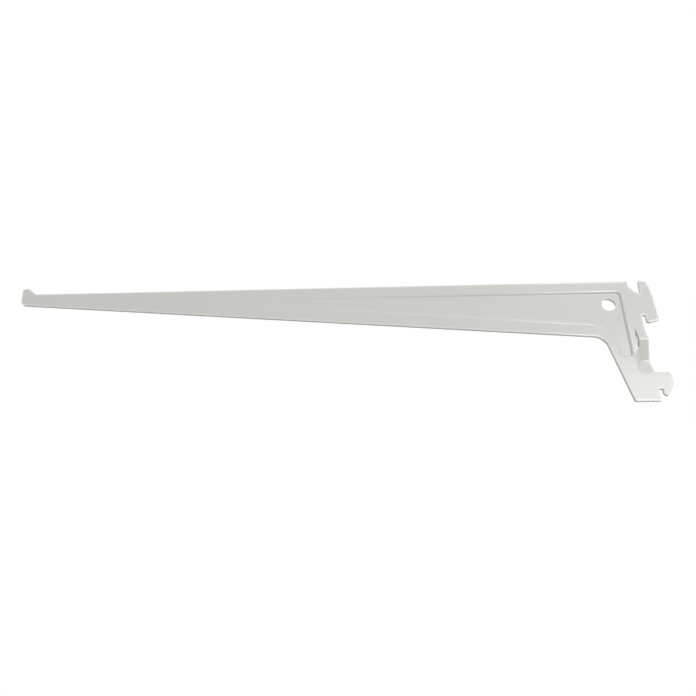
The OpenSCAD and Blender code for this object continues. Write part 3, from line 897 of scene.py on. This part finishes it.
def powder_coat(finish):
    """Semi-gloss white polyester powder coat on stamped steel.

    Baked powder flows out with a fine orange peel, so a lamp's reflection is soft and a little
    broken. It pulls thin over sheared edges, where the torn steel's marks show through it.
    """
    material = bpy.data.materials.new("semi_gloss_powder_coat")
    material.use_nodes = True
    tree = material.node_tree
    tree.nodes.clear()
    place = add_node(tree, "ShaderNodeTexCoord").outputs["Object"]
    edge = add_node(tree, "ShaderNodeAttribute", attribute_name="sheared_edge").outputs["Vector"]
    on_edge = add_node(tree, "ShaderNodeSeparateXYZ", {"Vector": edge}).outputs["Z"]

    # Orange peel is 1 to 2 mm wide. It is drawn a little coarser, so that it shows
    peel = add_node(tree, "ShaderNodeTexNoise", {
        "Vector": place, "Scale": 1 / finish.peel, "Detail": 2.0, "Roughness": 0.45}).outputs["Fac"]
    # A pressed sheet keeps slow waves of under a tenth of a millimetre
    buckle = add_node(tree, "ShaderNodeTexNoise", {
        "Vector": place, "Scale": 1 / finish.buckle, "Detail": 1.0}).outputs["Fac"]
    # Marks of the torn zone run across the thickness, so the pattern is drawn out along it
    drawn = add_node(tree, "ShaderNodeVectorMath", {
        0: edge, 1: (1 / finish.tear, 1 / finish.tear_run, 0.0)},
        operation="MULTIPLY").outputs["Vector"]
    tear = add_node(tree, "ShaderNodeTexNoise", {
        "Vector": drawn, "Scale": 1.0, "Detail": 3.0}).outputs["Fac"]
    tear = add_node(tree, "ShaderNodeMath", {0: tear, 1: on_edge}, operation="MULTIPLY").outputs[0]

    tint = add_node(tree, "ShaderNodeTexNoise", {
        "Vector": place, "Scale": 1 / finish.patch, "Detail": 3.0}).outputs["Fac"]
    tint = add_node(tree, "ShaderNodeMapRange", {
        "Value": tint, "From Min": 0.3, "From Max": 0.7, "To Min": 0.0, "To Max": 0.06}).outputs[0]
    thin = add_node(tree, "ShaderNodeMath", {0: on_edge, 1: 0.5}, operation="MULTIPLY").outputs[0]
    thin = add_node(tree, "ShaderNodeMath", {0: thin, 1: tint}, operation="ADD").outputs[0]
    colour = add_node(tree, "ShaderNodeMix", {
        "Factor": thin, "A": linear(finish.coat), "B": linear(finish.thin_coat)},
        data_type="RGBA").outputs["Result"]
    uneven = 0.03
    rough = add_node(tree, "ShaderNodeMapRange", {
        "Value": peel, "From Min": 0.3, "From Max": 0.7,
        "To Min": finish.roughness - uneven, "To Max": finish.roughness + uneven}).outputs[0]

    bump = add_node(tree, "ShaderNodeBump", {
        "Height": buckle, "Distance": finish.buckle_h}).outputs["Normal"]
    bump = add_node(tree, "ShaderNodeBump", {
        "Height": tear, "Distance": finish.tear_h, "Normal": bump}).outputs["Normal"]
    bump = add_node(tree, "ShaderNodeBump", {
        "Height": peel, "Distance": finish.peel_h, "Normal": bump}).outputs["Normal"]
    # A painted highlight: the viewed side's rolled edges, and the nibs below, are painted a lighter
    # colour. Powder does gather along rolled edges and hide the steel better there, but this lighter
    # colour is mostly painted highlight
    highlight_share = add_node(tree, "ShaderNodeAttribute", attribute_name="coat_build_up").outputs["Fac"]
    for x, z, wide in NIBS:
        near = add_node(tree, "ShaderNodeVectorMath", {0: place, 1: (x, NIB_Y, z)},
                        operation="DISTANCE").outputs["Value"]
        nib = add_node(tree, "ShaderNodeMapRange", {
            "Value": near, "From Max": wide, "To Min": 1.0, "To Max": 0.0},
            interpolation_type="SMOOTHSTEP").outputs[0]
        bump = add_node(tree, "ShaderNodeBump", {
            "Height": nib, "Distance": NIB_RISE * wide, "Normal": bump}).outputs["Normal"]
        # The nib gets the lighter colour too: a painted highlight
        highlight_share = add_node(tree, "ShaderNodeMath", {0: highlight_share, 1: nib}, operation="MAXIMUM").outputs[0]
    colour = add_node(tree, "ShaderNodeMix", {
        "Factor": highlight_share, "A": colour, "B": linear(finish.thick_coat)},
        data_type="RGBA").outputs["Result"]
    shader = add_node(tree, "ShaderNodeBsdfPrincipled", {
        "Base Color": colour, "Roughness": rough, "Normal": bump, "IOR": 1.5}).outputs["BSDF"]
    add_node(tree, "ShaderNodeOutputMaterial", {"Surface": shader})
    return material


def seen_directly(tree):
    """1 for a ray that the camera sees, straight or in a gloss or a glass, and 0 for the others."""
    path = add_node(tree, "ShaderNodeLightPath")
    seen = add_node(tree, "ShaderNodeMath", {
        0: path.outputs["Is Camera Ray"], 1: path.outputs["Is Glossy Ray"]},
        operation="MAXIMUM").outputs[0]
    return add_node(tree, "ShaderNodeMath", {
        0: seen, 1: path.outputs["Is Transmission Ray"]}, operation="MAXIMUM").outputs[0]


def pale_paper(colour, glow):
    """Pale matte studio paper, a little uneven so that it doesn't look like a void.

    It glows where it is seen, so that it is pale without more light on the bracket.
    """
    material = bpy.data.materials.new("matte_studio_paper")
    material.use_nodes = True
    tree = material.node_tree
    tree.nodes.clear()
    place = add_node(tree, "ShaderNodeTexCoord").outputs["Object"]
    uneven_w, uneven_h = 1 / 60, 0.0002
    uneven = add_node(tree, "ShaderNodeTexNoise", {
        "Vector": place, "Scale": 1 / uneven_w, "Detail": 4.0}).outputs["Fac"]
    bump = add_node(tree, "ShaderNodeBump", {
        "Height": uneven, "Distance": uneven_h}).outputs["Normal"]
    glow = add_node(tree, "ShaderNodeMath", {0: seen_directly(tree), 1: glow},
                    operation="MULTIPLY").outputs[0]
    shader = add_node(tree, "ShaderNodeBsdfPrincipled", {
        "Base Color": linear(colour), "Roughness": 0.9, "Normal": bump,
        "Emission Color": linear(colour), "Emission Strength": glow}).outputs["BSDF"]
    add_node(tree, "ShaderNodeOutputMaterial", {"Surface": shader})
    return material


# Operators

class OBJECT_OT_bracket_sheet(bpy.types.Operator):
    """Build the stamped sheet, with its rolled edges, panel, hole and waved strip"""

    bl_idname = "object.bracket_sheet"
    bl_label = "Stamped sheet"

    def execute(self, context):
        scene = context.scene
        arm, hooks = scene.bracket_arm, scene.bracket_hooks
        panel, strip = scene.bracket_panel, scene.bracket_strip
        half = arm.sheet_t / 2
        shell = Shell()

        above, below = 2 * strip.row, 0.002
        rows = np.arange(-strip.top_z + above, -strip.pit_toe_z - below, -strip.row)
        outline = refine(*add_rows(*closed_path(sheet_corners(arm, hooks)), 0, rows))
        edge = edge_profile(-half, half, panel.roll_w, panel.roll_h, panel.roll_far)
        narrow = np.minimum(1, 0.8 * room_inside(*outline) / panel.roll_w)
        # The rolls of the sheet's edges, and later of the hole's, get the painted highlight
        sides = shell.band(outline, edge, sheared=True, with_highlight=True, narrow=narrow)
        *gap, share = slit_path(strip)
        slit = shell.band(gap, edge_profile(-half, half, strip.roll_w, strip.roll_h, 0.2 * strip.slit_w),
                          sheared=True, narrow=np.maximum(share, 0.15))

        around = closed_path(panel_corners(arm, panel))
        # The rim rolls widest where its left normal points up, which is along the panel's lower wall
        crisp = panel.crisp + (1 - panel.crisp) * np.clip(around[1][:, 1], 0, 1)
        near = shell.band(around, near_wall(arm, panel), turned=True, narrow=crisp)
        far = shell.band(around, far_wall(arm, panel))
        # The panel is full depth near the rear edge, shallower towards the nose, and fades at its end
        at = (-panel.end, panel.fade - panel.end, -panel.run_out, -panel.full_to)
        depths = (panel.end_share, panel.nose_share, panel.nose_share, 1)
        for rim, y in ((near.ravel(), -half), (far.ravel(), half)):
            shell.raise_to(rim, y, np.interp(shell.points[rim, 0], at, depths))
        floor_y = panel.depth - half
        bore = shell.band(hole_path(panel), edge_profile(
            floor_y, floor_y + arm.sheet_t, panel.roll_hole, panel.roll_h, panel.roll_far),
            sheared=True, with_highlight=True)

        # Loose points carry the pressing. They stay clear of the edges, and above the slit's foot
        # they lie on the strip alone
        column, from_edge, from_slit = 0.0005, 0.0003, 0.0002
        x = np.arange(-strip.pit_reach - below, -panel.roll_w - from_edge, column)
        grid = np.stack(np.meshgrid(x, rows, indexing="ij"), axis=-1).reshape(-1, 2)
        low = grid[:, 1] < -strip.slit_foot_z - strip.roll_w
        grid = grid[low | (grid[:, 0] > -strip.width + strip.roll_w + from_slit)]
        clear = near_wall(arm, panel)[0][0, 0] - strip.row
        grid = grid[~inside(grid, around[0] + clear * around[1])]
        for y, facing in ((-half, 1), (half, -1)):
            spots = np.stack([grid[:, 0], np.full(len(grid), y), grid[:, 1]], axis=-1)
            loose = shell.add(spots, np.tile((0, math.copysign(1, y), 0), (len(spots), 1)))
            k = 0 if y < 0 else -1
            wall = near[:, 0] if y < 0 else far[:, 0]
            shell.fill(sides[:, k], [slit[:, k], wall], -facing, loose)
        shell.fill(near[:, -1], [bore[:, 0]], -1)
        shell.fill(far[:, -1], [bore[:, -1]], 1)

        shell.points, shell.normals = press_rear(shell.points, shell.normals, half, strip)
        piece = bpy.data.objects.new("stamped_sheet", shell.mesh("stamped_sheet"))
        context.collection.objects.link(piece)
        piece.data.materials.append(powder_coat(scene.bracket_finish))
        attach(piece, "root")
        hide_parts("bracket")
        return {"FINISHED"}


class OBJECT_OT_bracket_studio(bpy.types.Operator):
    """Build the floor, the lamps, the pale background and the camera"""

    bl_idname = "object.bracket_studio"
    bl_label = "Studio"

    def execute(self, context):
        scene = context.scene
        studio = scene.bracket_studio
        self.floor(context, studio)
        self.background(scene, studio)
        for lamp in LAMPS:
            self.lamp(context, lamp, getattr(studio, lamp.name))
        self.camera(context, studio)
        scene.view_settings.view_transform = "Standard"
        return {"FINISHED"}

    def floor(self, context, studio):
        """A flat square, wide enough that its edge lies far behind the bracket."""
        r, z = studio.floor_w / 2, studio.floor_z
        mesh = bpy.data.meshes.new("studio_floor")
        mesh.from_pydata([(-r, -r, z), (r, -r, z), (r, r, z), (-r, r, z)], [], [(0, 1, 2, 3)])
        mesh.materials.append(pale_paper(studio.floor, studio.glow))
        floor = bpy.data.objects.new("studio_floor", mesh)
        context.collection.objects.link(floor)

    def background(self, scene, studio):
        """White where it is seen, straight or in a gloss, and a dimmer even light otherwise."""
        world = bpy.data.worlds.new("studio")
        scene.world = world
        world.use_nodes = True
        tree = world.node_tree
        tree.nodes.clear()
        strength = add_node(tree, "ShaderNodeMapRange", {
            "Value": seen_directly(tree), "To Min": studio.room, "To Max": 1.0}).outputs[0]
        shader = add_node(tree, "ShaderNodeBackground", {
            "Color": (1, 1, 1, 1), "Strength": strength}).outputs["Background"]
        add_node(tree, "ShaderNodeOutputWorld", {"Surface": shader})

    def lamp(self, context, lamp, power):
        """A rectangular soft box at a distance from the target that it faces."""
        light = bpy.data.lights.new(lamp.name, "AREA")
        light.shape = "RECTANGLE"
        light.size, light.size_y = lamp.size
        light.energy = power
        box = bpy.data.objects.new(lamp.name, light)
        away = Vector(lamp.away).normalized()
        box.location = Vector(lamp.target) + lamp.distance * away
        box.rotation_euler = (-away).to_track_quat("-Z", "Y").to_euler()
        box.visible_camera = False
        context.collection.objects.link(box)

    def camera(self, context, studio):
        """A camera whose axes come from its direction of view and its upward direction."""
        data = bpy.data.cameras.new("view")
        data.lens = studio.lens
        data.sensor_width = 36
        back = -Vector(studio.ahead).normalized()
        across = Vector(studio.upright).cross(back).normalized()
        up = back.cross(across)
        axes = Matrix((across, up, back)).transposed().to_4x4()
        camera = bpy.data.objects.new("view", data)
        camera.matrix_world = Matrix.Translation(studio.eye) @ axes
        context.collection.objects.link(camera)
        context.scene.camera = camera


class VIEW3D_PT_bracket(bpy.types.Panel):
    """Buttons that build the bracket and its studio"""

    bl_label = "Slotted shelf bracket"
    bl_idname = "VIEW3D_PT_bracket"
    bl_space_type = "VIEW_3D"
    bl_region_type = "UI"
    bl_category = "Bracket"

    def draw(self, context):
        for operator in OPERATORS:
            self.layout.operator(operator.bl_idname)
        for name in SETTINGS:
            group = getattr(context.scene, name)
            box = self.layout.box()
            for prop in group.bl_rna.properties:
                if prop.identifier not in {"rna_type", "name"}:
                    box.prop(group, prop.identifier)


SETTINGS = {
    "bracket_arm": ArmSettings,
    "bracket_hooks": HookSettings,
    "bracket_panel": PanelSettings,
    "bracket_strip": StripSettings,
    "bracket_finish": FinishSettings,
    "bracket_studio": StudioSettings,
}
OPERATORS = (OBJECT_OT_bracket_sheet, OBJECT_OT_bracket_studio)


def register():
    for group in SETTINGS.values():
        bpy.utils.register_class(group)
    for name, group in SETTINGS.items():
        setattr(bpy.types.Scene, name, PointerProperty(type=group))
    for operator in OPERATORS:
        bpy.utils.register_class(operator)
    bpy.utils.register_class(VIEW3D_PT_bracket)


def unregister():
    bpy.utils.unregister_class(VIEW3D_PT_bracket)
    for operator in reversed(OPERATORS):
        bpy.utils.unregister_class(operator)
    for name, group in reversed(SETTINGS.items()):
        delattr(bpy.types.Scene, name)
        bpy.utils.unregister_class(group)


def main():
    register()
    bpy.ops.object.bracket_sheet()
    bpy.ops.object.bracket_studio()


if __name__ == "__main__":
    main()
